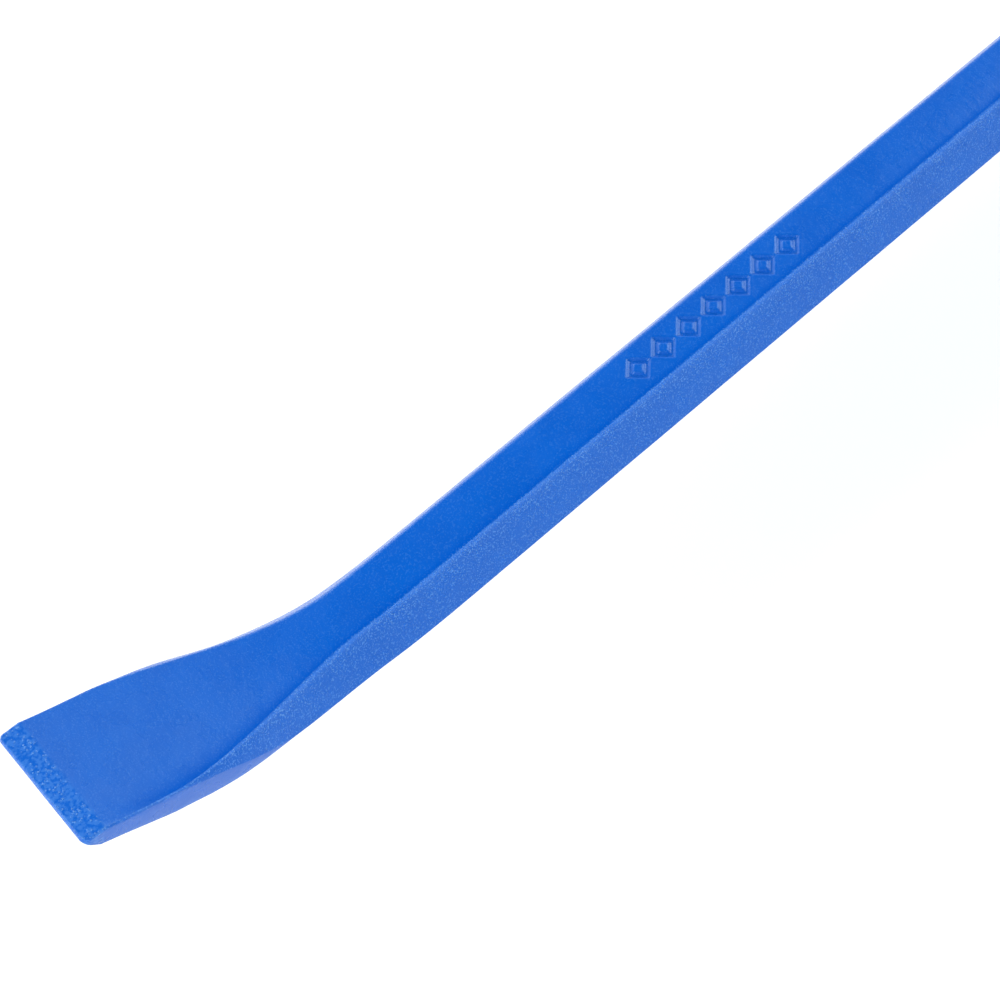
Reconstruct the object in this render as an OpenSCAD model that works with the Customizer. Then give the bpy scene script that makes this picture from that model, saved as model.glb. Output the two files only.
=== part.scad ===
// Pry bar (wrecking bar): one steel forging with a cranked chisel blade at one end and a gooseneck
// claw at the other, covered all over by a powder coat.
//
// Frame: +X points along the shank to the chisel blade, +Z out of the flat that carries the pressed
// mark, and +Y across the bar. The origin is the middle of the shank's lower flat, on the finished
// surface. Millimetres and degrees.

/* [Bar] */
// Overall length, from the cutting edge to the back of the gooseneck
overall_len = 600; // [500:10:900]
// Hexagonal bar stock, across its flats, without the coat
stock_af = 18; // [16:0.5:20]
// Width over the side edges of the hexagon, a little under a true hexagon's
stock_w = 20; // [18:0.2:21]
// Height of the worn flat along each side edge of the hexagon
edge_flat = 0.3; // [0.2:0.1:1]
// Size of the small chamfer on every other long edge
edge_soft = 0.4; // [0.3:0.1:1]
// Thickness of the powder coat
coat_t = 0.12; // [0.1:0.01:0.2]

/* [Chisel blade] */
// Width of the blade
blade_w = 26.4; // [24:0.2:32]
// Thickness of the blade behind its bevel
blade_t = 4.4; // [3.5:0.1:6]
// Angle that the blade rises from the shank
blade_angle = 32.3; // [15:0.1:40]
// Distance from the cutting edge to where the crank begins to bend
blade_straight = 2; // [0:1:20]
// Length of the crank, from there to the shank
crank_len = 89.5; // [70:0.5:110]
// Length of the bevel at the cutting edge
bevel_len = 3.6; // [2:0.2:5]
// Thickness left at the cutting edge
cutting_edge_t = 0.9; // [0.6:0.1:1.5]
// How much each side of the blade draws in at the cutting edge
tip_draw = 0.1; // [0:0.1:1]
// Height of the vertical face along each side of the blade
side_face = 5.4; // [3:0.2:6]

/* [Gooseneck claw] */
// Radius of the gooseneck's centreline
hook_r = 32; // [28:1:40]
// Angle that the gooseneck turns through
hook_turn = 155; // [120:5:165]
// Straight part of the claw after the turn
claw_len = 30; // [28:1:40]
// Width across the two claws
claw_w = 31; // [28:0.5:34]
// Thickness of the claw behind its bevel
claw_t = 4; // [3.5:0.1:6]
// Thickness left at the claw's tips
claw_tip_t = 1.4; // [1:0.1:2]
// Depth of the nail slot
slot_len = 27; // [20:1:30]
// Width of the nail slot at its mouth
slot_mouth = 11; // [8:0.5:13]
// Width of the nail slot at its root
slot_root = 3.4; // [2.6:0.2:4]

/* [Pressed mark] */
// Length of the row of diamonds, each a pressed outline
mark_len = 47; // [30:1:60]
// Height of a diamond, across the flat
mark_h = 6.4; // [4:0.2:7]
// Width of a diamond's pressed line
mark_line = 1.2; // [0.8:0.1:1.6]
// Number of diamonds in the row
mark_count = 7; // [3:1:7]
// Depth of the mark in the steel
mark_depth = 0.5; // [0.3:0.1:0.8]
// Distance from the cutting edge to the middle of the row
mark_from_tip = 157; // [140:1:200]

/* [Hidden] */

// The hexagon: half thickness, half width of a flat, and half width over the side edges
hex_half = stock_af / 2;
hex_top = hex_half * tan(30);
hex_side = stock_w / 2;
axis_z = hex_half + coat_t;

// Chisel end, by distance from the cutting edge
chisel_len = blade_straight + crank_len;
chisel_steps = 30;
crank_power = 1.56;         // above 1, so that the crank bends most near the shank
draw_len = 14;              // over which the sides draw in to the cutting edge
top_start = 14;             // where the upper face begins to narrow
top_end = 69;               // where it is as narrow as the hexagon's flat
side_start = 32.5;          // where the sides begin to narrow
side_end = 70.5;            // where they reach the hexagon
wedge_start = 3.7;          // where the blade begins to thicken
wedge_end = 91;             // where it is as thick as the stock
wedge_power = 0.86;         // below 1, so that it thickens early
face_start = 26;            // where the vertical side face begins to fade
face_end = 48;              // where it has become the hexagon's edge
corner_cut = 1.3;           // cut off each corner of the blade, in plan
thin_edge = 0.25;           // least height and width of the slope along a thin edge

// Gooseneck and claw, by distance from the end of the shank
arc_len = hook_r * hook_turn * PI / 180;
hook_len = arc_len + claw_len;
arc_step = 5;               // degrees
claw_steps = 9;
claw_bevel = 5;
claw_corner_cut = 2;        // cut off each outer corner of the claw, in plan
flare_start = 0.38 * arc_len;   // where the gooseneck begins to turn into the claw
// Shares of the flare: where the bar is as thin as the claw, and where its sides, its faces and
// its vertical side faces start and end changing
flare_thin = 0.92;
flare_thin_power = 0.85;    // below 1, so that it thins early
flare_side = [0.15, 0.95];
flare_top = [0.2, 0.95];
flare_face = [0.3, 0.6];
slot_deep = 3 * stock_af;   // cutter's height, more than the claw's thickness
root_sides = 32;            // sides of the circle at the slot's root

// Diamonds of the mark
mark_pitch = mark_len / mark_count;
mark_half_l = 0.46 * mark_pitch;
above = 1;                  // how far a cutter stands proud of the surface

function ease(u) = let (v = min(max(u, 0), 1)) v * v * (3 - 2 * v);
function mix(from, to, u) = from + (to - from) * u;
function within(u, range) = ease((u - range[0]) / (range[1] - range[0]));

// A section is [half width of the upper face, half width over the sides, half thickness, half
// height of the side face]. It is symmetrical, so the lower half mirrors the upper one.
function chisel_section(s) =
    let (
        draw = tip_draw * pow(1 - min(s / draw_len, 1), 2) + corner_cut * max(0, 1 - s / corner_cut),
        side_u = ease((s - side_start) / (side_end - side_start)),
        top_u = ease((s - top_start) / (top_end - top_start)),
        wedge_u = max(0, min(1, (s - wedge_start) / (wedge_end - wedge_start))),
        body = mix(blade_t / 2, hex_half, ease(pow(wedge_u, wedge_power))),
        half = min(body, mix(cutting_edge_t / 2, blade_t / 2, s / bevel_len)),
        face_u = ease((s - face_start) / (face_end - face_start)),
        face = mix(min(side_face / 2, half - thin_edge * min(1, half)), edge_flat / 2, face_u),
        side = mix(blade_w / 2, hex_side, side_u) - draw,
        top = min(mix(blade_w / 2, hex_top, top_u), side - thin_edge)
    ) [top, side, half, face];

function hook_section(s) =
    let (
        u = (s - flare_start) / (hook_len - flare_start),
        bevel_u = max(0, 1 - (hook_len - s) / claw_bevel),
        body = mix(hex_half, claw_t / 2, pow(ease(u / flare_thin), flare_thin_power)),
        half = mix(body, claw_tip_t / 2, bevel_u),
        face_full = mix(edge_flat / 2, side_face / 2, within(u, flare_face)),
        face = min(face_full, half - thin_edge * min(1, half)),
        cut = claw_corner_cut * max(0, 1 - (hook_len - s) / claw_corner_cut),
        side = mix(hex_side, claw_w / 2, within(u, flare_side)) - cut,
        top = min(mix(hex_top, claw_w / 2, within(u, flare_top)), side - thin_edge)
    ) [top, side, half, face];

// The corners of a section, as [across, up] points in order round it
function corners(c) = [
    [c[0], c[2]], [-c[0], c[2]], [-c[1], c[3]], [-c[1], -c[3]],
    [-c[0], -c[2]], [c[0], -c[2]], [c[1], -c[3]], [c[1], c[3]]
];

function unit(v) = v / norm(v);

// A convex outline, listed anticlockwise, with every side moved out by d
function grown(pts, d) =
    let (n = len(pts))
    [for (i = [0 : n - 1])
        let (
            a = unit(pts[i] - pts[(i + n - 1) % n]),
            b = unit(pts[(i + 1) % n] - pts[i]),
            na = [a[1], -a[0]],
            nb = [b[1], -b[0]]
        ) pts[i] + d * (na + nb) / (1 + na * nb)];

// The same outline with each corner cut off, by less on a short side
function softened(pts, cut) =
    let (n = len(pts))
    [for (i = [0 : n - 1])
        let (
            back = pts[(i + n - 1) % n] - pts[i],
            on = pts[(i + 1) % n] - pts[i],
            k = min(cut, 0.3 * norm(back), 0.3 * norm(on))
        ) each [pts[i] + k * unit(back), pts[i] + k * unit(on)]];

// Distances of the chisel end's stations from its cutting edge
chisel_s = concat(
    [0, corner_cut],
    [for (i = [0 : chisel_steps]) mix(bevel_len, chisel_len, i / chisel_steps)]
);
chisel_last = len(chisel_s) - 1;

function chisel_angle(s) =
    let (u = max(0, (s - blade_straight) / crank_len))
    blade_angle * (1 - ease(pow(u, crank_power)));

// The chisel end's spine as [along, up] from the shank's end, from the crank to the cutting edge
chisel_path = [
    for (
        i = chisel_last, p = [0, 0];
        i >= 0;
        a = i > 0 ? chisel_angle((chisel_s[i] + chisel_s[i - 1]) / 2) : 0,
        p = i > 0 ? p + (chisel_s[i] - chisel_s[i - 1]) * [cos(a), sin(a)] : p,
        i = i - 1
    ) p
];

chisel_reach = chisel_path[chisel_last][0];
hook_back = hook_section(hook_r * PI / 2)[2];
shank_len = overall_len - chisel_reach - hook_r - hook_back - 2 * coat_t;
mark_x = shank_len / 2 + chisel_reach - mark_from_tip;

// Stations of the whole bar from the cutting edge to the claw, each as
// [x, z, angle of the spine, section]
chisel_stations = [
    for (i = [0 : chisel_last])
        let (p = chisel_path[chisel_last - i], s = chisel_s[i])
        [shank_len / 2 + p[0], axis_z + p[1], chisel_angle(s), chisel_section(s)]
];

arc_stations = [
    for (i = [0 : hook_turn / arc_step])
        let (a = i * arc_step)
        [
            -shank_len / 2 - hook_r * sin(a),
            axis_z - hook_r + hook_r * cos(a),
            a,
            hook_section(hook_r * a * PI / 180)
        ]
];

arc_end = [
    -shank_len / 2 - hook_r * sin(hook_turn),
    axis_z - hook_r + hook_r * cos(hook_turn)
];
claw_dir = -[cos(hook_turn), sin(hook_turn)];

// Distances of the claw's stations from the gooseneck
claw_d = concat(
    [for (i = [1 : claw_steps]) (claw_len - claw_bevel) * i / claw_steps],
    [claw_len - claw_corner_cut, claw_len]
);

claw_stations = [
    for (d = claw_d)
        let (p = arc_end + d * claw_dir)
        [p[0], p[1], hook_turn, hook_section(arc_len + d)]
];

stations = concat(chisel_stations, arc_stations, claw_stations);

// The ring of points of a station, grown by d. The two end stations also move outwards by d.
function ring(i, d) =
    let (
        st = stations[i],
        along = [cos(st[2]), sin(st[2])],
        up = [-sin(st[2]), cos(st[2])],
        ends = i == 0 ? d : i == len(stations) - 1 ? -d : 0,
        base = [st[0], st[1]] + ends * along
    )
    [for (p = softened(grown(corners(st[3]), d), edge_soft))
        let (q = base + p[1] * up) [q[0], p[0], q[1]]];

// The bar's skin without its slot and mark, grown by d
module skin(d) {
    rings = [for (i = [0 : len(stations) - 1]) ring(i, d)];
    n = len(rings[0]);
    last = len(rings) - 1;
    sides = [
        for (i = [0 : last - 1], j = [0 : n - 1])
            let (a = i * n + j, b = i * n + (j + 1) % n)
            each [[a, b, b + n], [a, b + n, a + n]]
    ];
    polyhedron(
        points = [for (r = rings) each r],
        faces = concat(
            [[for (j = [n - 1 : -1 : 0]) j]],
            sides,
            [[for (j = [0 : n - 1]) last * n + j]]
        )
    );
}

// Cutter for the nail slot, a V with a round root, narrower by d on each side
module slot_cutter(d) {
    root_r = slot_root / 2 - d;
    root_x = slot_len - slot_root / 2 + d;
    mouth = slot_mouth / 2 - d;
    mouth_out = mouth + above * (mouth - root_r) / root_x;
    translate([arc_end[0], 0, arc_end[1]])
        rotate([0, -hook_turn, 0])
            translate([-claw_len - d, 0, -slot_deep / 2])
                linear_extrude(slot_deep) union() {
                    translate([root_x, 0]) circle(r = root_r, $fn = root_sides);
                    polygon([
                        [-above, -mouth_out],
                        [root_x, -root_r],
                        [root_x, root_r],
                        [-above, mouth_out]
                    ]);
                }
}

// A diamond whose sides lie inside the mark's outline by d
module diamond(d) {
    half_h = mark_h / 2;
    shrink = 1 - d * norm([mark_half_l, half_h]) / (mark_half_l * half_h);
    polygon(shrink * [[mark_half_l, 0], [0, half_h], [-mark_half_l, 0], [0, -half_h]]);
}

// Cutters for the diamonds' pressed lines, shallower and narrower by d
module mark_cutters(d) {
    for (i = [0 : mark_count - 1])
        translate([
            mark_x + (i - (mark_count - 1) / 2) * mark_pitch,
            0,
            axis_z + hex_half - mark_depth + d
        ])
            linear_extrude(mark_depth + above) difference() {
                diamond(d);
                diamond(mark_line - d);
            }
}

// The whole bar, grown by d
module bar(d) {
    difference() {
        skin(d);
        slot_cutter(d);
        mark_cutters(d);
    }
}

module forged_bar() {
    color("dimgray") bar(0);
}

module powder_coat() {
    color("royalblue") difference() {
        bar(coat_t);
        bar(0);
    }
}

forged_bar();
powder_coat();
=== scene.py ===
import math

import bpy
import numpy as np
from mathutils import Matrix, Vector, noise


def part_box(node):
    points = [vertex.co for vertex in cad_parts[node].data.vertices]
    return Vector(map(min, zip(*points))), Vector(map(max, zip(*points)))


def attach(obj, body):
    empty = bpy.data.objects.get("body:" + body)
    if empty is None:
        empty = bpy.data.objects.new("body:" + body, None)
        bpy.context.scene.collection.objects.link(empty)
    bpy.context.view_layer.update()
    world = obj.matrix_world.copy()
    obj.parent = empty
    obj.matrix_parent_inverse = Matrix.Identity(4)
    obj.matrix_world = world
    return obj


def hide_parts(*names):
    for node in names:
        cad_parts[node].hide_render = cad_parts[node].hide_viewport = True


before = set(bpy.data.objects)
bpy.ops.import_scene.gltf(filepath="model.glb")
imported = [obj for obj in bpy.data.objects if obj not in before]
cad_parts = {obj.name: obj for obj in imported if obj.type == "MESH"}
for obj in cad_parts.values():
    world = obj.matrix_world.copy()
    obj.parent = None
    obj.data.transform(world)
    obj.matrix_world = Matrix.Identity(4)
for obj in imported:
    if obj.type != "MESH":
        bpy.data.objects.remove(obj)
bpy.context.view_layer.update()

# The pry bar's looks: one powder-coated skin, lofted round the CAD bar's own spine and sections,
# with rolled edges, a forging's unevenness, the pressed mark and the nail slot.
# Lengths are in millimetres up to the point where a mesh, light or camera is made.
MM = 0.001

# Bar, as in the CAD
STOCK_AF = 18.0
STOCK_W = 20.0
EDGE_FLAT = 0.3
COAT = 0.12
HEX_HALF = STOCK_AF / 2
HEX_TOP = HEX_HALF * math.tan(math.radians(30))
AXIS_Z = HEX_HALF + COAT

# Chisel blade, as in the CAD
BLADE_W = 26.4
BLADE_T = 4.4
BLADE_ANGLE = math.radians(32.3)
BLADE_STRAIGHT = 2.0
CRANK_LEN = 89.5
CRANK_POWER = 1.56
CHISEL_LEN = BLADE_STRAIGHT + CRANK_LEN
BEVEL_LEN = 3.6
CUTTING_EDGE_T = 0.9
TIP_DRAW = 0.1
DRAW_LEN = 14.0
SIDE_FACE = 5.4
THIN_EDGE = 0.25
TOP_SPAN = (14.0, 69.0)
SIDE_SPAN = (32.5, 70.5)
WEDGE_START, WEDGE_END, WEDGE_POWER = 3.7, 91.0, 0.86
FACE_SPAN = (26.0, 48.0)

# Gooseneck and claw, as in the CAD
HOOK_R = 32.0
HOOK_TURN = math.radians(155)
ARC_LEN = HOOK_R * HOOK_TURN
CLAW_LEN = 30.0
HOOK_LEN = ARC_LEN + CLAW_LEN
CLAW_W = 31.0
CLAW_T = 4.0
CLAW_TIP_T = 1.4
CLAW_BEVEL = 5.0
FLARE_START = 0.38 * ARC_LEN
FLARE_THIN, FLARE_THIN_POWER = 0.92, 0.85
FLARE_SIDE, FLARE_TOP, FLARE_FACE = (0.15, 0.95), (0.2, 0.95), (0.3, 0.6)
SLOT_LEN = 27.0
SLOT_MOUTH = 11.0
SLOT_ROOT = 3.4

# Pressed mark, as in the CAD
MARK_LEN = 47.0
MARK_H = 6.4
MARK_LINE = 1.2
MARK_COUNT = 7
MARK_DEPTH = 0.5
MARK_FROM_TIP = 157.0
MARK_PITCH = MARK_LEN / MARK_COUNT
MARK_HALF_L = 0.46 * MARK_PITCH
MARK_IN_R = MARK_HALF_L * MARK_H / 2 / math.hypot(MARK_HALF_L, MARK_H / 2)

# Rounding that only the visual model has
NEAR, FAR = 1, -1           # the +Y and -Y sides, whose edges aren't worn alike
EDGE_R_BAR = {NEAR: 0.6, FAR: 1.1}     # edges between the hexagon's upper flat and flanks
EDGE_R_THIN = 0.3           # long edges of the blade and the claw
SIDE_R = 0.35               # the hexagon's side edges
CORNER_R = {NEAR: 1.7, FAR: 0.8}        # the blade's corners, in plan
CLEARANCE = 0.04            # outward shift that keeps the uneven coat clear of the steel
CROWN = 0.16                # how far the middle of a face stands proud of its edges
CLAW_CORNER_R = 2.0         # outer corners of the claws, in plan
MOUTH_R = 0.12              # corners of the nail slot's mouth, in plan
SLOT_LIP = 0.13             # rolled edge along the nail slot
END_R = 0.2                 # rolled edges of the cutting edge and the claws' tips

# Where the rounding of the thin ends gives way to the hexagon's, as distances from the cutting edge
# and from the claw's end
BAR_EDGE_FROM_TIP = (15.0, 50.0)
BAR_EDGE_FROM_CLAW = (30.0, 80.0)
CROWN_IN = 18.0             # the crown and the painted shade and highlight along the edge fade in over this from the cutting edge

# Pebbled coat at the dipped ends: over the bevel and a little past it, and on the claw's bevel
PEBBLE_PAST_BEVEL, PEBBLE_FADE, CLAW_PEBBLE_FADE = 0.8, 1.2, 2.0

# Steps round half a section, from the middle of its top to the middle of its bottom
TOP_STEPS, FLANK_STEPS, SIDE_STEPS = 17, 9, 5
TOP_ARC_STEPS, SIDE_ARC_STEPS = 4, 3
HALF_STEPS = 2 * (TOP_STEPS + TOP_ARC_STEPS + FLANK_STEPS + SIDE_ARC_STEPS) + SIDE_STEPS
LIP_STEPS, WALL_STEPS = 3, 5
CHAIN_STEPS = 2 * LIP_STEPS + WALL_STEPS
ROOT_STEPS = 7


def ease(u):
    """Smooth step from 0 to 1."""
    u = np.clip(u, 0, 1)
    return u * u * (3 - 2 * u)


def mix(start, end, u):
    return start + (end - start) * u


def within(u, span):
    return ease((u - span[0]) / (span[1] - span[0]))


# ---------------------------------------------------------------- sections and spine
# A section is [half width of the upper face, half width over the sides, half thickness, half
# height of the side face], for the bare steel. It is symmetrical.

def chisel_section(s):
    """Section at distance s behind the cutting edge."""
    s = np.maximum(s, 0)
    draw = TIP_DRAW * (1 - np.minimum(s / DRAW_LEN, 1)) ** 2
    wedge = np.clip((s - WEDGE_START) / (WEDGE_END - WEDGE_START), 0, 1) ** WEDGE_POWER
    body = mix(BLADE_T / 2, HEX_HALF, ease(wedge))
    half = np.minimum(body, mix(CUTTING_EDGE_T / 2, BLADE_T / 2, s / BEVEL_LEN))
    face_full = np.minimum(SIDE_FACE / 2, half - THIN_EDGE * np.minimum(1, half))
    face = mix(face_full, EDGE_FLAT / 2, within(s, FACE_SPAN))
    side = mix(BLADE_W / 2, STOCK_W / 2, within(s, SIDE_SPAN)) - draw
    top = np.minimum(mix(BLADE_W / 2, HEX_TOP, within(s, TOP_SPAN)), side - THIN_EDGE)
    return np.stack([top, side, half, face], -1)


def hook_section(t):
    """Section at distance t beyond the shank, along the gooseneck and the claw."""
    t = np.clip(t, 0, HOOK_LEN)
    u = (t - FLARE_START) / (HOOK_LEN - FLARE_START)
    bevel = np.maximum(0, 1 - (HOOK_LEN - t) / CLAW_BEVEL)
    body = mix(HEX_HALF, CLAW_T / 2, ease(u / FLARE_THIN) ** FLARE_THIN_POWER)
    half = mix(body, CLAW_TIP_T / 2, bevel)
    face = mix(EDGE_FLAT / 2, SIDE_FACE / 2, within(u, FLARE_FACE))
    face = np.minimum(face, half - THIN_EDGE * np.minimum(1, half))
    side = mix(STOCK_W / 2, CLAW_W / 2, within(u, FLARE_SIDE))
    top = np.minimum(mix(HEX_TOP, CLAW_W / 2, within(u, FLARE_TOP)), side - THIN_EDGE)
    return np.stack([top, side, half, face], -1)


def chisel_angle(s):
    u = np.maximum((s - BLADE_STRAIGHT) / CRANK_LEN, 0)
    return BLADE_ANGLE * (1 - ease(u**CRANK_POWER))


def chisel_offsets(steps=2000):
    """Distances from the cutting edge, and the spine's [along, up] there from the shank's end."""
    s = np.linspace(0, CHISEL_LEN, steps + 1)
    middle = chisel_angle((s[1:] + s[:-1]) / 2)
    step = np.diff(s)[:, None] * np.stack([np.cos(middle), np.sin(middle)], -1)
    path = np.concatenate([np.cumsum(step[::-1], 0)[::-1], np.zeros((1, 2))])
    return s, path


CHISEL_S, CHISEL_PATH = chisel_offsets()
BACK_OF_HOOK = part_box("powder_coat")[0].x / MM
HOOK_HALF_T = hook_section(HOOK_R * math.pi / 2)[2]
SHANK_BACK = BACK_OF_HOOK + COAT + HOOK_HALF_T + HOOK_R
SHANK_FRONT = -SHANK_BACK
BAR_LEN = CHISEL_LEN + (SHANK_FRONT - SHANK_BACK) + HOOK_LEN
TIP_X = SHANK_FRONT + CHISEL_PATH[0, 0]
MARK_X = TIP_X - MARK_FROM_TIP


def spine(s):
    """(x, z, slope) of the spine at distance s from the bare cutting edge, for an array s."""
    hook = s - CHISEL_LEN - (SHANK_FRONT - SHANK_BACK)
    turn = np.clip(hook, 0, ARC_LEN) / HOOK_R
    slope = np.where(hook > 0, turn, chisel_angle(s))
    x = np.interp(s, CHISEL_S, CHISEL_PATH[:, 0]) + SHANK_FRONT
    z = np.interp(s, CHISEL_S, CHISEL_PATH[:, 1])
    x = x - np.clip(s - CHISEL_LEN, 0, SHANK_FRONT - SHANK_BACK)
    x = np.where(hook > 0, SHANK_BACK - HOOK_R * np.sin(turn), x)
    z = np.where(hook > 0, HOOK_R * (np.cos(turn) - 1), z)
    beyond = np.maximum(hook - ARC_LEN, 0) + np.minimum(s, 0)
    x = x - beyond * np.cos(slope)
    z = z - beyond * np.sin(slope)
    return x, z + AXIS_Z, slope


def section(s):
    """Bare section at distance s from the cutting edge, anywhere on the bar."""
    hook = s - CHISEL_LEN - (SHANK_FRONT - SHANK_BACK)
    return np.where((s < CHISEL_LEN)[..., None], chisel_section(s), hook_section(hook))


def rounding(distance, radius):
    """How far a quarter-round end of that radius lies inside its tangent, near the end."""
    left = np.clip(radius - distance, 0, radius)
    return radius - np.sqrt(radius**2 - left**2)


def finished_corners(s, flank=NEAR):
    """The four corners of half a coated section, from its top to its bottom, as [across, up]."""
    top, side, half, face = section(s).T
    slope = np.arctan2(half - face, side - top)
    mitre = COAT * np.tan(slope / 2)
    lean = COAT * np.tan((math.pi / 2 - slope) / 2)
    from_tip = s + COAT
    from_claw = BAR_LEN + COAT - s
    cut = rounding(from_tip, CORNER_R[flank]) + rounding(from_claw, CLAW_CORNER_R)
    thick = half + COAT
    shrink = 1 - rounding(np.minimum(from_tip, from_claw), END_R) / thick
    across = np.stack([top + mitre - cut, side + COAT - cut], -1)
    up = np.stack([thick * shrink, (face + lean) * shrink], -1)
    upper = np.stack([across, up], -1)
    lower = upper[:, ::-1] * [1, -1]
    return np.concatenate([upper, lower], 1)


def edge_radii(s, flank):
    """Radius at each of the four corners: the hexagon's edges are rounder than the thin ends'."""
    bar = within(s, BAR_EDGE_FROM_TIP) * within(BAR_LEN - s, BAR_EDGE_FROM_CLAW)
    top = mix(EDGE_R_THIN, EDGE_R_BAR[flank], bar)
    bottom = mix(EDGE_R_THIN, EDGE_R_BAR[NEAR], bar)
    side = mix(EDGE_R_THIN, SIDE_R, bar)
    return np.stack([top, side, side, bottom], -1)


def straight(start, end, steps):
    """Points from start up to, but without, end."""
    u = (np.arange(steps) / steps)[:, None]
    return start[:, None] + (end - start)[:, None] * u


def bend(start, corner, end, steps):
    """Points round a corner from start up to, but without, end."""
    u = (np.arange(steps) / steps)[:, None]
    ends = start[:, None] * (1 - u) ** 2 + end[:, None] * u**2
    return ends + corner[:, None] * (2 * u * (1 - u))


def half_outline(s, start, flank):
    """Half sections with rounded corners: (len(s), HALF_STEPS + 1, 2) points as [across, up].
    start is how far from the middle the upper and lower faces begin."""
    corner = finished_corners(s, flank)
    radius = edge_radii(s, flank)
    first = np.stack([start, corner[:, 0, 1]], -1)
    last = np.stack([start, corner[:, 3, 1]], -1)
    path = np.concatenate([first[:, None], corner, last[:, None]], 1)
    edge = np.diff(path, axis=1)
    length = np.linalg.norm(edge, axis=-1)
    way = edge / length[..., None]
    turn = np.arccos(np.clip((way[:, 1:] * way[:, :-1]).sum(-1), -1, 1))
    room = 0.49 * np.minimum(length[:, 1:], length[:, :-1])
    reach = np.minimum(radius * np.tan(turn / 2), room)[..., None]
    before = corner - way[:, :-1] * reach
    after = corner + way[:, 1:] * reach
    edge_steps = [TOP_STEPS, FLANK_STEPS, SIDE_STEPS, FLANK_STEPS, TOP_STEPS]
    arc_steps = [TOP_ARC_STEPS, SIDE_ARC_STEPS, SIDE_ARC_STEPS, TOP_ARC_STEPS]
    at, parts = first, []
    for i, steps in enumerate(arc_steps):
        parts.append(straight(at, before[:, i], edge_steps[i]))
        parts.append(bend(before[:, i], corner[:, i], after[:, i], steps))
        at = after[:, i]
    parts.append(straight(at, last, edge_steps[-1]))
    return np.concatenate(parts + [last[:, None]], 1)


# ---------------------------------------------------------------- stations along the bar

def stretch(start, end, step):
    """Even stations from start up to, but without, end."""
    return np.linspace(start, end, max(1, round((end - start) / step)), endpoint=False)


END_STEPS = np.array([0, 0.06, 0.16, 0.3, 0.5, 0.75, 1.05, 1.4, 1.8, 2.3])
ROOT_R = SLOT_ROOT / 2 - COAT
ROOT_CENTRE = SLOT_LEN - ROOT_R


def bar_stations():
    """Stations of the whole rings, from the cutting edge to just before the nail slot."""
    shank_end = BAR_LEN - HOOK_LEN
    behind = CHISEL_LEN - CHISEL_PATH[0, 0]     # how much longer the spine is than its reach
    mark_start = MARK_FROM_TIP - MARK_LEN / 2 - 2 + behind
    mark_end = mark_start + MARK_LEN + 4
    root = BAR_LEN + COAT - SLOT_LEN - SLOT_LIP
    return np.concatenate([
        END_STEPS - COAT,
        stretch(2.8 - COAT, BEVEL_LEN, 0.4),
        stretch(BEVEL_LEN, CHISEL_LEN, 0.65),
        stretch(CHISEL_LEN, mark_start, 0.9),
        stretch(mark_start, mark_end, 0.31),
        stretch(mark_end, mark_end + 40, 0.9),
        stretch(mark_end + 40, shank_end, 2.8),
        stretch(shank_end, root - 3, 1.0),
        stretch(root - 3, root, 0.5),
    ])


def slot_stations():
    """Rings beside the nail slot: (distance from the claw's end, distance of the slot's wall from
    the middle, direction of the wall's lip as [back, across]) for each."""
    turn = np.linspace(0, math.pi / 2, ROOT_STEPS)
    back = ROOT_CENTRE + ROOT_R * np.cos(turn)
    across = ROOT_R * np.sin(turn)
    way = np.stack([np.cos(turn), np.sin(turn)], -1)
    line = np.concatenate([
        stretch(0, ROOT_CENTRE - CLAW_BEVEL, 0.8)[1:],
        stretch(ROOT_CENTRE - CLAW_BEVEL, ROOT_CENTRE - END_STEPS[-1], 0.6),
        ROOT_CENTRE - END_STEPS[::-1],
    ])
    line = ROOT_CENTRE - line
    mouth = SLOT_MOUTH / 2 - COAT
    wall = mix(mouth, ROOT_R, line / ROOT_CENTRE) + rounding(line, MOUTH_R)
    return (
        np.concatenate([back, line]),
        np.concatenate([across, wall]),
        np.concatenate([way, np.tile([0.0, 1.0], (len(line), 1))]),
    )


def placed(s, across, up):
    """Points of the bar, in millimetres, for stations s and section places (across, up)."""
    x, z, slope = spine(s)
    return np.stack([x - up * np.sin(slope), across, z + up * np.cos(slope)], -1)


# ---------------------------------------------------------------- mesh of the coat

class Skin:
    """Collects the vertices and faces of the bar's closed skin, ring by ring."""

    def __init__(self):
        self.points, self.weights, self.faces, self.uvs = [], [], [], []

    def add(self, points, weights):
        """Adds points with their weights, as WEIGHTS lists them, and returns their numbers."""
        first = len(self.points)
        self.points.extend(points)
        self.weights.extend(weights)
        return list(range(first, first + len(points)))

    def quad(self, corners, uv, flip):
        if flip:
            corners, uv = corners[::-1], uv[::-1]
        self.faces.append(corners)
        self.uvs.extend(uv)

    def strip(self, a, b, ua, ub, va, vb, flip):
        """Quads between two rows of vertices, with their places on the texture."""
        for k in range(len(a) - 1):
            self.quad(
                (a[k], a[k + 1], b[k + 1], b[k]),
                ((ua[k], va), (ua[k + 1], va), (ub[k + 1], vb), (ub[k], vb)),
                flip,
            )


# What a vertex carries: how grainy and how pebbled the coat is there, how far it may stand proud
# with the crown of its face, how ragged the edge is, and the light painted on the coat beside an edge,
# from -1 for painted shade, darker and duller, to 1 for painted highlight, lighter and shinier
WEIGHTS = ("grain", "pebble", "crown", "edge", "edge_light_paint")
PEBBLE, CROWNED, PAINTED_LIGHT_COLUMN = (WEIGHTS.index(name) for name in ("pebble", "crown", "edge_light_paint"))
EDGE_ARC_PAINTED_LIGHT = np.array([-1.0, -0.7, 0.2, 0.9])     # painted shade, then painted highlight, round the arc of the near upper edge


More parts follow.
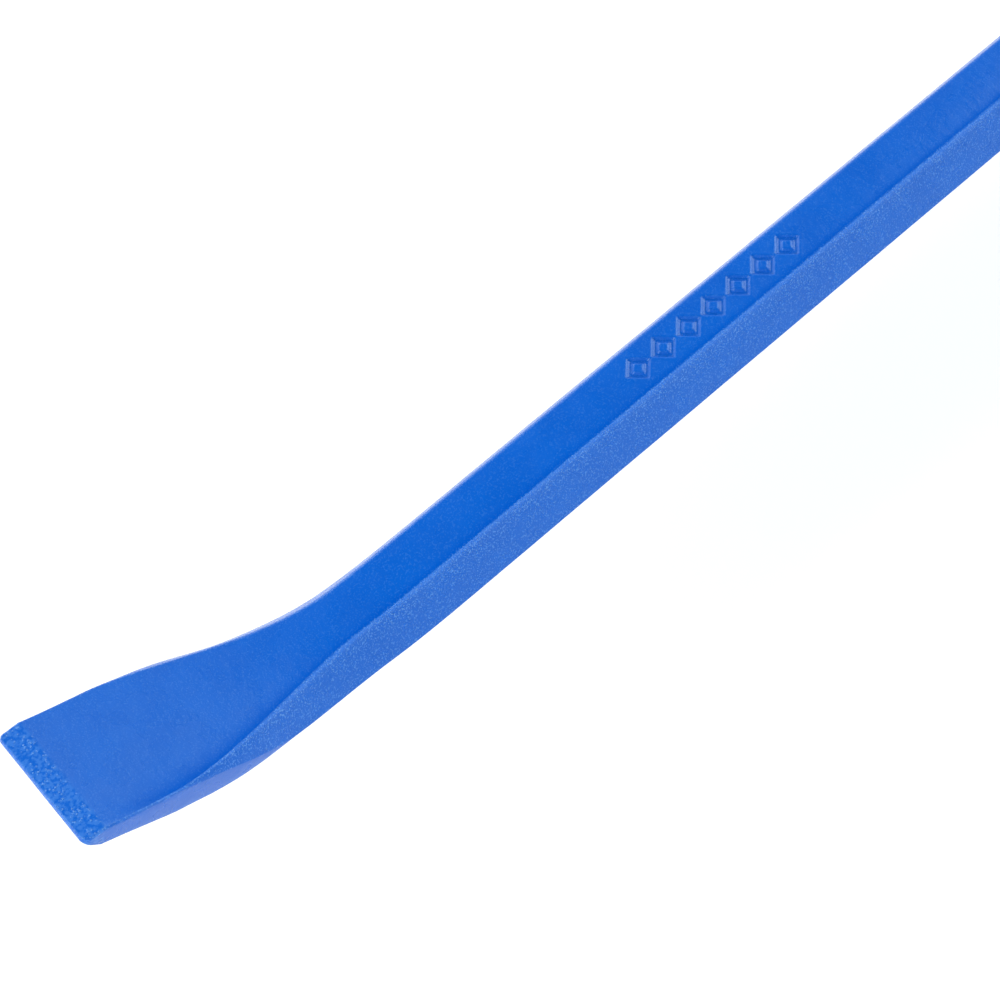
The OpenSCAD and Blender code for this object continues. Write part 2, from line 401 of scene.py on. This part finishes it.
def section_weights():
    """The weights of each of the HALF_STEPS + 1 points of half a section, without the pebbling: a run
    of points for each face, and for each arc between two faces, from its top to its bottom."""
    rise = lambda n: 1 - (np.arange(n) / n) ** 2
    bulge = lambda n: 4 * np.arange(n) / n * (1 - np.arange(n) / n)
    rolled = lambda n: 0.62 + 0.8 * np.exp(-4.5 * np.arange(n) / n)
    fading = lambda n, steps: np.exp(-np.arange(n) / steps)
    runs = [
        # the last column is painted light: painted shade on the top flat next to the near upper edge,
        # painted highlight round its arc and down the first steps of the flank
        (0.2, rise(TOP_STEPS), 0, -0.8 * fading(TOP_STEPS, 3.0)[::-1]),
        (np.linspace(0.2, 1.1, TOP_ARC_STEPS), np.zeros(TOP_ARC_STEPS), 1, EDGE_ARC_PAINTED_LIGHT),
        (rolled(FLANK_STEPS), 0.5 * bulge(FLANK_STEPS), 0.1, fading(FLANK_STEPS, 0.6)),
        (0.6, np.zeros(SIDE_ARC_STEPS), 0.6, 0), (0.12, 0.3 * bulge(SIDE_STEPS), 0, 0),
        (0.6, np.zeros(SIDE_ARC_STEPS), 0.6, 0), (1.0, 0.5 * bulge(FLANK_STEPS), 0.1, 0),
        (0.8, np.zeros(TOP_ARC_STEPS), 1, 0), (0.4, np.append(rise(TOP_STEPS)[::-1], 1), 0, 0),
    ]
    rows = [np.stack(np.broadcast_arrays(g, 0.0, *rest), -1) for g, *rest in runs]
    return np.concatenate(rows)


CELLS = 3                   # the texture is a square of CELLS x CELLS cells
STRIPS = CELLS * CELLS - 1  # the skin takes all but the last one
CELL_SPAN = 84.0            # millimetres of surface across one cell
CELL_EDGE = 3.0             # left free round each cell, in millimetres

# Places in the last cell, in millimetres: the slot's walls stand in two columns, and the end caps lie
# in rows of a third
WALL_COLUMN, WALL_FOOT, WALL_HALF_T = 20.0, 2.0, 4.0
CAP_COLUMN = -30.0
EDGE_CAP_ROWS = {NEAR: 38.0, FAR: 44.0}
CLAW_CAP_ROWS = {NEAR: (50.0, 62.0), FAR: (56.0, 68.0)}
WALL_WEIGHTS = (0.3, 0.3, 0, 0, 0)      # as WEIGHTS lists them


def cell_place(cell, across, along):
    """Texture place of a point of the surface, measured from its cell's middle bottom."""
    column, row = cell % CELLS, cell // CELLS
    u = (column + 0.5 + across / CELL_SPAN) / CELLS
    v = (row + (along + CELL_EDGE) / CELL_SPAN) / CELLS
    return u, v


def build_skin():
    skin = Skin()
    weights = section_weights()
    whole = bar_stations()
    back, wall, lip_way = slot_stations()
    s_slot = BAR_LEN + COAT - back
    half_t = finished_corners(s_slot)[:, 0, 1]
    lip = np.minimum(SLOT_LIP, 0.6 * half_t)
    s_ring = s_slot - lip * lip_way[:, 0]
    start = wall + lip * lip_way[:, 1]
    start[0] = 0

    stations = np.concatenate([whole, s_ring])
    starts = np.concatenate([np.zeros(len(whole)), start])
    points, around = {}, {}
    for flank in (NEAR, FAR):
        outline = half_outline(stations, starts, flank)
        points[flank] = placed(stations[:, None], flank * outline[..., 0], outline[..., 1])
        steps = np.linalg.norm(np.diff(outline, axis=1), axis=-1)
        walked = np.concatenate([np.zeros((len(steps), 1)), np.cumsum(steps, 1)], 1)
        around[flank] = flank * (starts[:, None] + walked)

    strip_len = (stations[-1] - stations[0]) / STRIPS
    pebble_at = ease((BEVEL_LEN + PEBBLE_PAST_BEVEL - stations) / PEBBLE_FADE)
    pebble_at += ease((stations - BAR_LEN + CLAW_BEVEL) / CLAW_PEBBLE_FADE)
    crown_at = ease(stations / CROWN_IN)
    near, far = [], []
    first_split = len(whole) + 1
    for i in range(len(stations)):
        here = weights.copy()
        here[:, PEBBLE] = pebble_at[i]
        here[:, CROWNED] *= crown_at[i]
        here[:, PAINTED_LIGHT_COLUMN] *= crown_at[i]
        near.append(skin.add(points[NEAR][i], here))
        # the far side gets no painted edge shade or highlight
        even = here.copy()
        even[:, PAINTED_LIGHT_COLUMN] = 0
        if i < first_split:
            inner = skin.add(points[FAR][i, 1:-1], even[1:-1])
            far.append([near[i][0]] + inner + [near[i][-1]])
        else:
            far.append(skin.add(points[FAR][i], even))

    for i in range(len(stations) - 1):
        cell = min(int((stations[i] - stations[0]) / strip_len), STRIPS - 1)
        along = stations[i:i + 2] - stations[0] - cell * strip_len
        for flank, rows in ((NEAR, near), (FAR, far)):
            ua, v_here = zip(*(cell_place(cell, w, along[0]) for w in around[flank][i]))
            ub, v_next = zip(*(cell_place(cell, w, along[1]) for w in around[flank][i + 1]))
            skin.strip(rows[i], rows[i + 1], ua, ub, v_here[0], v_next[0], flank == FAR)

    add_slot_walls(skin, near, far, first_split - 1, back, wall, lip_way, lip)
    add_end_cap(skin, near[0], far[0])
    return skin


def wall_chain(back, wall, lip_way, lip, side):
    """Points down one wall of the slot, between the lips' upper and lower ends."""
    bend_at = np.linspace(0, math.pi / 2, LIP_STEPS + 1)[1:]
    out = lip * (1 - np.sin(bend_at))
    drop = lip * (1 - np.cos(bend_at))
    inner = np.linspace(0, 1, WALL_STEPS + 1)[1:-1]
    s_wall = BAR_LEN + COAT - back - out * lip_way[0]
    half = finished_corners(s_wall)[:, 0, 1]
    across = wall + out * lip_way[1]
    up = half - drop
    s_mid = np.full(len(inner), s_wall[-1])
    s_all = np.concatenate([s_wall, s_mid, s_wall[::-1]])
    across_all = np.concatenate([across, np.full(len(inner), across[-1]), across[::-1]])
    up_all = np.concatenate([up, mix(up[-1], -up[-1], inner), -up[::-1]])
    return placed(s_all, side * across_all, up_all)


def add_slot_walls(skin, near, far, root, back, wall, lip_way, lip):
    """The two walls of the nail slot, from its root to the claw's end, and the claws' end caps."""
    chains = {}
    for side, rows in ((NEAR, near), (FAR, far)):
        chains[side] = []
        for i in range(len(back)):
            if i == 0 and side == FAR:
                inner = chains[NEAR][0][1:-1]
            else:
                points = wall_chain(back[i], wall[i], lip_way[i], lip[i], side)
                inner = skin.add(points, np.tile(WALL_WEIGHTS, (len(points), 1)))
            row = rows[root + i]
            chains[side].append([row[0]] + list(inner) + [row[-1]])
        columns = WALL_COLUMN * side + np.linspace(-WALL_HALF_T, WALL_HALF_T, CHAIN_STEPS + 1)
        heights = WALL_FOOT + SLOT_LEN - back
        for i in range(len(back) - 1):
            ua, va = zip(*(cell_place(STRIPS, column, heights[i]) for column in columns))
            ub, vb = zip(*(cell_place(STRIPS, column, heights[i + 1]) for column in columns))
            skin.strip(chains[side][i], chains[side][i + 1], ua, ub, va[0], vb[0], side == NEAR)
        outer_row, inner_row = CLAW_CAP_ROWS[side]
        add_half_cap(skin, rows[-1], side == FAR, outer_row)
        add_half_cap(skin, chains[side][-1], side == NEAR, inner_row)


def add_half_cap(skin, row, flip, along):
    """Closes one thin end by joining each vertex of a row to the one opposite."""
    n = len(row)
    for k in range(n // 2 - 1):
        corners = (row[k], row[k + 1], row[n - 2 - k], row[n - 1 - k])
        places = ((k, 0), (k + 1, 0), (k + 1, 1), (k, 1))
        uv = [cell_place(STRIPS, CAP_COLUMN + a, along + b) for a, b in places]
        skin.quad(corners, uv, flip)


def add_end_cap(skin, near_row, far_row):
    """Closes the cutting edge."""
    add_half_cap(skin, near_row, True, EDGE_CAP_ROWS[NEAR])
    add_half_cap(skin, far_row, False, EDGE_CAP_ROWS[FAR])


# ---------------------------------------------------------------- relief of the surface

# Height, size and noise offset of each kind of unevenness
SWELL = (0.025, 21.0, Vector((0, 0, 0)))
DENT = (0.014, 6.5, Vector((7.3, 1.1, 4.2)))
RIPPLE = (0.01, 2.3, Vector((3.7, 9.4, 0.6)))
RAGGED_EDGE = (0.03, 1.7, Vector((5.1, 2.8, 8.8)))


def uneven(p, kind):
    height, size, offset = kind
    return height * noise.noise(p / size + offset)


def unevenness(p, edge):
    """Outward shift of the surface at p, where edge says how ragged it is."""
    smooth = uneven(p, SWELL) + uneven(p, DENT) + uneven(p, RIPPLE)
    return smooth + edge * uneven(p, RAGGED_EDGE)


# The pressed mark's lines: the run of their sloping sides, and the height of the burr beside them
MARK_SLOPE = 0.5
MARK_BURR = 0.05


def mark_depth(x, y):
    """Depth of the diamonds' pressed lines at (x, y) of the marked flat."""
    along = x - MARK_X + MARK_LEN / 2
    cell = np.clip(np.floor(along / MARK_PITCH), 0, MARK_COUNT - 1)
    off = np.abs(along - (cell + 0.5) * MARK_PITCH)
    inside = (1 - off / MARK_HALF_L - np.abs(y) / (MARK_H / 2)) * MARK_IN_R
    line = MARK_LINE / 2 - np.abs(inside - MARK_LINE / 2)
    pressed = MARK_DEPTH * ease((line + 0.12) / MARK_SLOPE)
    raised = MARK_BURR * within(line, (-0.8, -0.3)) * (1 - within(line, (-0.3, 0)))
    return pressed - raised


def relief(points, normals, crown, edge):
    """The points with the surface's unevenness and the pressed mark added."""
    shift = np.array([unevenness(Vector(p), e) for p, e in zip(points, edge)])
    shift += CLEARANCE + CROWN * crown
    on_flat = (normals[:, 2] > 0.9) & (np.abs(points[:, 0] - MARK_X) < MARK_LEN / 2 + 3)
    shift -= np.where(on_flat, mark_depth(points[:, 0], points[:, 1]), 0)
    return points + normals * shift[:, None]


def vertex_normals(mesh):
    normals = np.zeros(len(mesh.vertices) * 3, np.float32)
    mesh.vertex_normals.foreach_get("vector", normals)
    return normals.reshape(-1, 3).astype(float)


def make_coat():
    skin = build_skin()
    points = np.array(skin.points)
    mesh = bpy.data.meshes.new("powder_coat_skin")
    mesh.from_pydata((points * MM).tolist(), [], skin.faces)
    mesh.update()
    weights = dict(zip(WEIGHTS, np.array(skin.weights).T))
    points = relief(points, vertex_normals(mesh), weights["crown"], weights["edge"])
    mesh.vertices.foreach_set("co", (points * MM).astype(np.float32).ravel())
    mesh.update()
    uv = mesh.uv_layers.new(name="OFBake")
    uv.data.foreach_set("uv", np.array(skin.uvs, np.float32).ravel())
    for name in ("grain", "pebble", "edge_light_paint"):
        attribute = mesh.attributes.new(name, "FLOAT", "POINT")
        attribute.data.foreach_set("value", weights[name].astype(np.float32))
    mesh.polygons.foreach_set("use_smooth", [True] * len(mesh.polygons))
    coat = bpy.data.objects.new("powder_coat_skin", mesh)
    bpy.context.scene.collection.objects.link(coat)
    return coat


# ---------------------------------------------------------------- materials

class Nodes:
    """Short calls for building a material or world node tree."""

    def __init__(self, tree):
        self.tree = tree
        tree.nodes.clear()

    def add(self, kind, **inputs):
        """A node of that kind, with its inputs set or linked by name."""
        node = self.tree.nodes.new(kind)
        for name, value in inputs.items():
            socket = node.inputs[int(name[1:]) if name[0] == "_" else name.replace("_", " ")]
            if isinstance(value, bpy.types.NodeSocket):
                self.tree.links.new(value, socket)
            else:
                socket.default_value = value
        return node

    def maths(self, operation, *values):
        node = self.tree.nodes.new("ShaderNodeMath")
        node.operation = operation
        for socket, value in zip(node.inputs, values):
            if isinstance(value, bpy.types.NodeSocket):
                self.tree.links.new(value, socket)
            else:
                socket.default_value = value
        return node.outputs[0]

    def noise(self, place, size_mm, detail=2.0, roughness=0.5):
        """Noise whose features measure size_mm, from 0 to 1."""
        node = self.add(
            "ShaderNodeTexNoise", Vector=place, Scale=1 / (size_mm * MM),
            Detail=detail, Roughness=roughness,
        )
        return node.outputs[0]

    def cells(self, place, size_mm):
        """Distance from the nearest of scattered points size_mm apart, as a share of it."""
        node = self.add("ShaderNodeTexVoronoi", Vector=place, Scale=1 / (size_mm * MM))
        return node.outputs["Distance"]

    def attribute(self, name):
        node = self.tree.nodes.new("ShaderNodeAttribute")
        node.attribute_name = name
        return node.outputs["Fac"]

    def total(self, values):
        result = values[0]
        for value in values[1:]:
            result = self.maths("ADD", result, value)
        return result

    def ramp(self, value, low, high, to_low=0.0, to_high=1.0):
        """value mapped smoothly from low..high to to_low..to_high."""
        node = self.add("ShaderNodeMapRange", Value=value)
        node.interpolation_type = "SMOOTHSTEP"
        for name, v in (("From Min", low), ("From Max", high), ("To Min", to_low), ("To Max", to_high)):
            node.inputs[name].default_value = v
        return node.outputs[0]

    def blend(self, factor, a, b):
        node = self.tree.nodes.new("ShaderNodeMix")
        node.data_type = "RGBA"
        for index, value in ((0, factor), (6, a), (7, b)):
            if isinstance(value, bpy.types.NodeSocket):
                self.tree.links.new(value, node.inputs[index])
            else:
                node.inputs[index].default_value = value
        return node.outputs[2]


# The coat's colours
DEEP_BLUE = (0.0010, 0.116, 0.62, 1)
BLUE = (0.0012, 0.126, 0.65, 1)
GLINT_PAINT_BLUE = (0.10, 0.32, 0.85, 1)       # painted highlight: the glints of its grain specks and pebbles
EDGE_SHADE_PAINT_BLUE = (0.0, 0.065, 0.5, 1)  # painted shade beside the near upper edge
EDGE_HIGHLIGHT_PAINT_BLUE = (0.0, 0.2, 1.0, 1)      # painted highlight on the near upper edge's arc and the flank just below it
SHEEN = (0.7, 1.0, 1.0, 1)              # tint of what it reflects

# Size and height of each kind of relief in the coat
ORANGE_PEEL = (1.5, 0.065)
SPECK = (0.32, 0.055)
PEBBLE_DOT = (0.62, 0.1)
PEEL_STRETCH = (1.0, 0.45, 1.0)         # runs the orange peel across the bar


def new_material(name):
    material = bpy.data.materials.new(name)
    material.use_nodes = True
    return material, Nodes(material.node_tree)


def powder_coat_material():
    """Semi-gloss blue powder coat: orange peel all over, grain on the rolled flanks, coarse pebbling at
    the dipped ends, painted highlights on the grain's specks and the pebbles, and a line of painted
    shade and one of painted highlight along the near upper edge."""
    material, n = new_material("powder_coat_blue")
    place = n.add("ShaderNodeTexCoord").outputs["Object"]
    grain = n.attribute("grain")
    pebble = n.attribute("pebble")
    stretched = n.add("ShaderNodeVectorMath", _0=place, _1=PEEL_STRETCH)
    stretched.operation = "MULTIPLY"

    peel = n.noise(stretched.outputs[0], ORANGE_PEEL[0], 3.0, 0.5)
    fine = n.noise(place, SPECK[0], 1.5, 0.5)
    dense = n.maths("ADD", fine, n.maths("MULTIPLY", grain, 0.05))
    specks = n.maths("MULTIPLY", n.ramp(dense, 0.5, 0.8), grain)
    dots = n.ramp(n.cells(place, PEBBLE_DOT[0]), 0.42, 0.1)
    dots = n.maths("MULTIPLY", dots, n.ramp(n.noise(place, 1.3), 0.42, 0.55))
    pebbles = n.maths("MULTIPLY", dots, pebble)

    reliefs = ((peel, ORANGE_PEEL), (specks, SPECK), (pebbles, PEBBLE_DOT))
    height = n.total([n.maths("MULTIPLY", share, kind[1]) for share, kind in reliefs])
    bump = n.add("ShaderNodeBump", Strength=1.0, Distance=MM, Height=height)

    # bright is painted highlight: the grain's specks, the pebbles and a random mottle over the pebbled
    # ends are lightened towards a paler blue where light would catch them
    bright = n.maths("MINIMUM", n.ramp(dense, 0.58, 0.72), grain)
    mottle = n.maths("MULTIPLY", n.ramp(n.noise(place, 0.8), 0.4, 0.6, 0.05, 0.5), pebble)
    bright = n.maths("MAXIMUM", bright, n.maths("MAXIMUM", mottle, pebbles))
    colour = n.blend(n.ramp(n.noise(place, 9.0, 3.0), 0.3, 0.7), DEEP_BLUE, BLUE)
    colour = n.blend(n.maths("MULTIPLY", bright, 0.8), colour, GLINT_PAINT_BLUE)
    # painted shade and painted highlight along the near upper edge: the coat is darkened and its
    # specular dropped beside the edge, and lightened with its specular raised on the arc
    edge_light_paint = n.attribute("edge_light_paint")
    colour = n.blend(n.ramp(edge_light_paint, 0, -1, 0, 0.3), colour, EDGE_SHADE_PAINT_BLUE)
    colour = n.blend(n.ramp(edge_light_paint, 0, 1, 0, 0.33), colour, EDGE_HIGHLIGHT_PAINT_BLUE)
    gloss = n.add("ShaderNodeMapRange", Value=edge_light_paint)
    for name, v in (("From Min", -1), ("From Max", 1), ("To Min", 0.0), ("To Max", 1.0)):
        gloss.inputs[name].default_value = v
    rough = n.ramp(n.noise(place, 5.0, 2.0), 0.3, 0.7, 0.25, 0.31)
    shader = n.add(
        "ShaderNodeBsdfPrincipled", Base_Color=colour, Roughness=rough, Specular_Tint=SHEEN,
        Specular_IOR_Level=gloss.outputs[0], Normal=bump.outputs[0],
    )
    n.add("ShaderNodeOutputMaterial", Surface=shader.outputs[0])
    return material


def forged_steel_material():
    """Hot-forged steel under the coat: dark scale with a dull sheen."""
    material, n = new_material("forged_steel_scale")
    place = n.add("ShaderNodeTexCoord").outputs["Object"]
    scale = n.noise(place, 6.0, 5.0, 0.6)
    pits = n.noise(place, 0.8, 3.0)
    colour = n.blend(n.ramp(scale, 0.35, 0.65), (0.035, 0.037, 0.042, 1), (0.11, 0.105, 0.10, 1))
    rough = n.ramp(pits, 0.3, 0.7, 0.42, 0.62)
    bump = n.add("ShaderNodeBump", Strength=1.0, Distance=MM, Height=n.maths("MULTIPLY", pits, 0.05))
    shader = n.add(
        "ShaderNodeBsdfPrincipled", Base_Color=colour, Metallic=0.85, Roughness=rough,
        Normal=bump.outputs[0],
    )
    n.add("ShaderNodeOutputMaterial", Surface=shader.outputs[0])
    return material


FLOOR_GLOW = 0.2            # keeps the bar's shadow on the pale floor faint
FLOOR_HALF = 6.0            # metres
FLOOR_GAP = 0.5 * MM        # below the bar's lowest point


def floor_material():
    """Pale and plain from above, and clear from below so that the bar's underside can be seen."""
    material, n = new_material("studio_floor")
    shader = n.add("ShaderNodeBsdfPrincipled", Base_Color=(0.94, 0.94, 0.94, 1), Roughness=0.9)
    shader.inputs["Emission Color"].default_value = (1, 1, 1, 1)
    shader.inputs["Emission Strength"].default_value = FLOOR_GLOW
    clear = n.add("ShaderNodeBsdfTransparent")
    below = n.add("ShaderNodeNewGeometry").outputs["Backfacing"]
    surface = n.add("ShaderNodeMixShader", _0=below, _1=shader.outputs[0], _2=clear.outputs[0])
    n.add("ShaderNodeOutputMaterial", Surface=surface.outputs[0])
    return material


# ---------------------------------------------------------------- studio

def make_floor():
    """A wide pale floor just under the bar's lowest point."""
    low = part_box("powder_coat")[0].z - FLOOR_GAP
    half = FLOOR_HALF
    mesh = bpy.data.meshes.new("studio_floor")
    mesh.from_pydata(
        [(-half, -half, low), (half, -half, low), (half, half, low), (-half, half, low)],
        [], [(0, 1, 2, 3)],
    )
    mesh.materials.append(floor_material())
    floor = bpy.data.objects.new("studio_floor", mesh)
    bpy.context.scene.collection.objects.link(floor)


HORIZON_LEVEL, ZENITH_LEVEL = 0.81, 0.04


def make_world():
    """Pale surroundings: bright near the horizon, darker overhead."""
    world = bpy.data.worlds.new("studio")
    bpy.context.scene.world = world
    world.use_nodes = True
    n = Nodes(world.node_tree)
    way = n.add("ShaderNodeTexCoord").outputs["Generated"]
    x, y, up = n.add("ShaderNodeSeparateXYZ", Vector=way).outputs
    level = n.ramp(up, 0.3, 0.85, HORIZON_LEVEL, ZENITH_LEVEL)
    away = n.maths("MULTIPLY", n.maths("ADD", x, y), -0.5)
    level = n.maths("MULTIPLY", level, n.ramp(away, -0.7, 0.7, 0.82, 1.16))
    background = n.add("ShaderNodeBackground", Strength=level)
    background.inputs["Color"].default_value = (0.93, 1.0, 1.0, 1)
    n.add("ShaderNodeOutputWorld", Surface=background.outputs[0])


# Softboxes: the way to each from the point that it lights, its distance, width, height and radiance
SOFTBOXES = {
    "key": ((0.1, 0.9, 0.43), 1.3, 1.6, 0.22, 2.8),
    "above_blade": ((0.75, -0.1, 0.65), 1.4, 0.9, 0.9, 4.9),
    "hook_end": ((-0.8, 0.0, 0.6), 1.8, 1.2, 1.2, 3.4),
    "far_side": ((-0.1, -0.97, 0.28), 1.6, 1.1, 1.0, 1.8),
}
LIT_POINT = Vector((0.2, 0, 0.01))


def make_lights():
    for name, (way, distance, width, height, radiance) in SOFTBOXES.items():
        data = bpy.data.lights.new(name, "AREA")
        data.shape = "RECTANGLE"
        data.size, data.size_y = width, height
        data.energy = radiance * math.pi * width * height
        light = bpy.data.objects.new(name, data)
        away = Vector(way).normalized()
        turn = (-away).to_track_quat("-Z", "Y").to_matrix().to_4x4()
        light.matrix_world = Matrix.Translation(LIT_POINT + away * distance) @ turn
        bpy.context.scene.collection.objects.link(light)


# The view: the camera's tilt towards the blade's end, its height round the bar's axis, its roll,
# and where the axis passes under the cutting edge, as (right, down, ahead) of the camera
VIEW_TILT = math.radians(12.847)
VIEW_HEIGHT = math.radians(64.813)
VIEW_ROLL = math.radians(40.085)
VIEW_SKEW = math.radians(0.312)
TIP_IN_VIEW = Vector((-98.2, 0.765, 386.2)) * MM
LENS, SENSOR = 75.6, 36.0
VIEW_SHIFT = 0.0004         # of the picture's width, to the right and down


def make_camera():
    ct, st = math.cos(VIEW_TILT), math.sin(VIEW_TILT)
    ch, sh = math.cos(VIEW_HEIGHT), math.sin(VIEW_HEIGHT)
    ck, sk = math.cos(VIEW_SKEW), math.sin(VIEW_SKEW)
    # the bar's axes as seen by a camera whose right runs along the bar to the hook
    to_hook, to_near, to_up = (
        Vector((ct, 0, st)), Vector((ch * st, sh, -ch * ct)), Vector((sh * st, -ch, -sh * ct)),
    )
    skew = Matrix(((ck, -sk, 0), (sk, ck, 0), (0, 0, 1)))
    seen = Matrix((-(skew @ to_hook), skew @ to_near, skew @ to_up)).transposed()
    right, down, ahead = seen[0], seen[1], seen[2]
    anchor = Vector((TIP_X * MM, 0, AXIS_Z * MM))
    place = anchor - (right * TIP_IN_VIEW[0] + down * TIP_IN_VIEW[1] + ahead * TIP_IN_VIEW[2])
    cr, sr = math.cos(VIEW_ROLL), math.sin(VIEW_ROLL)
    level_right = right * cr + down * sr
    level_down = down * cr - right * sr
    turn = Matrix((level_right, -level_down, -ahead)).transposed()
    data = bpy.data.cameras.new("camera")
    data.lens, data.sensor_width = LENS, SENSOR
    data.shift_x, data.shift_y = -VIEW_SHIFT, VIEW_SHIFT
    data.clip_start = 0.01
    camera = bpy.data.objects.new("camera", data)
    camera.matrix_world = Matrix.Translation(place) @ turn.to_4x4()
    bpy.context.scene.collection.objects.link(camera)
    bpy.context.scene.camera = camera


# ---------------------------------------------------------------- scene

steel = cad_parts["forged_bar"]
steel.data.materials.clear()
steel.data.materials.append(forged_steel_material())

coat = make_coat()
coat.data.materials.append(powder_coat_material())
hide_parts("powder_coat")
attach(coat, "root")

make_floor()
make_world()
make_lights()
make_camera()
bpy.context.scene.view_settings.view_transform = "Standard"
